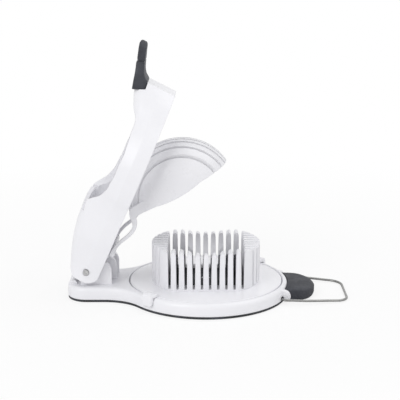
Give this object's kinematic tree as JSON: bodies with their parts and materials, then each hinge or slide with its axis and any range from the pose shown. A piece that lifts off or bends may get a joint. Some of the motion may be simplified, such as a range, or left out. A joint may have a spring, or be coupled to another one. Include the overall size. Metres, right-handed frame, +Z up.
{
  "type": "egg slicer",
  "caption": "Hinged egg slicer with a slotted cradle on a turntable, a wire cutting frame, a domed presser and a wire latch bail on soft grips.",
  "frame": {"origin": "centre of the turntable axis on the underside of the foot pad", "axes": "+X from the hinge towards the grips, +Y along the hinge pin away from the viewer's near side, +Z up"},
  "size_m": [0.1846, 0.109, 0.1679],
  "materials": {
    "white_plastic": "satin",
    "soft_grip": "matte",
    "steel": "satin",
    "wire_steel": "polished",
    "bail_steel": "polished"
  },
  "bodies": {
    "base": {"base_shell": "white_plastic", "base_grip": "soft_grip", "foot_pad": "soft_grip", "hinge_pin": "steel", "pivot_screw": "steel"},
    "turntable": {"turntable": "white_plastic", "cradle": "white_plastic", "egg_seat": "soft_grip"},
    "wire_frame": {"lid_shell": "white_plastic", "lid_grip": "soft_grip", "rear_wire_bar": "white_plastic", "front_wire_bar": "white_plastic", "wire_1": "wire_steel", "wire_2": "wire_steel", "wire_3": "wire_steel", "wire_4": "wire_steel", "wire_5": "wire_steel", "wire_6": "wire_steel", "wire_7": "wire_steel", "wire_8": "wire_steel"},
    "presser": {"presser_dome": "white_plastic"},
    "bail": {"latch_bail": "bail_steel"}
  },
  "joints": [
    {"name": "turntable_turn", "type": "hinge", "parent": "base", "child": "turntable", "pos_m": [0, 0, 0.01], "axis": [0, 0, 1], "range_deg": [0, 90]},
    {"name": "frame_hinge", "type": "hinge", "parent": "base", "child": "wire_frame", "pos_m": [-0.078, 0, 0.02], "axis": [0, 1, 0], "range_deg": [0, 66.8]},
    {"name": "presser_hinge", "type": "hinge", "parent": "base", "child": "presser", "pos_m": [-0.078, 0, 0.02], "axis": [0, 1, 0], "range_deg": [0, 29.5]},
    {"name": "bail_swing", "type": "hinge", "parent": "base", "child": "bail", "pos_m": [0.0495, 0, 0.0032], "axis": [0, -1, 0], "range_deg": [0, 73.8]}
  ],
  "couplings": [
    {"joint": "presser_hinge", "follows": "frame_hinge", "ratio": 0.4416}
  ]
}
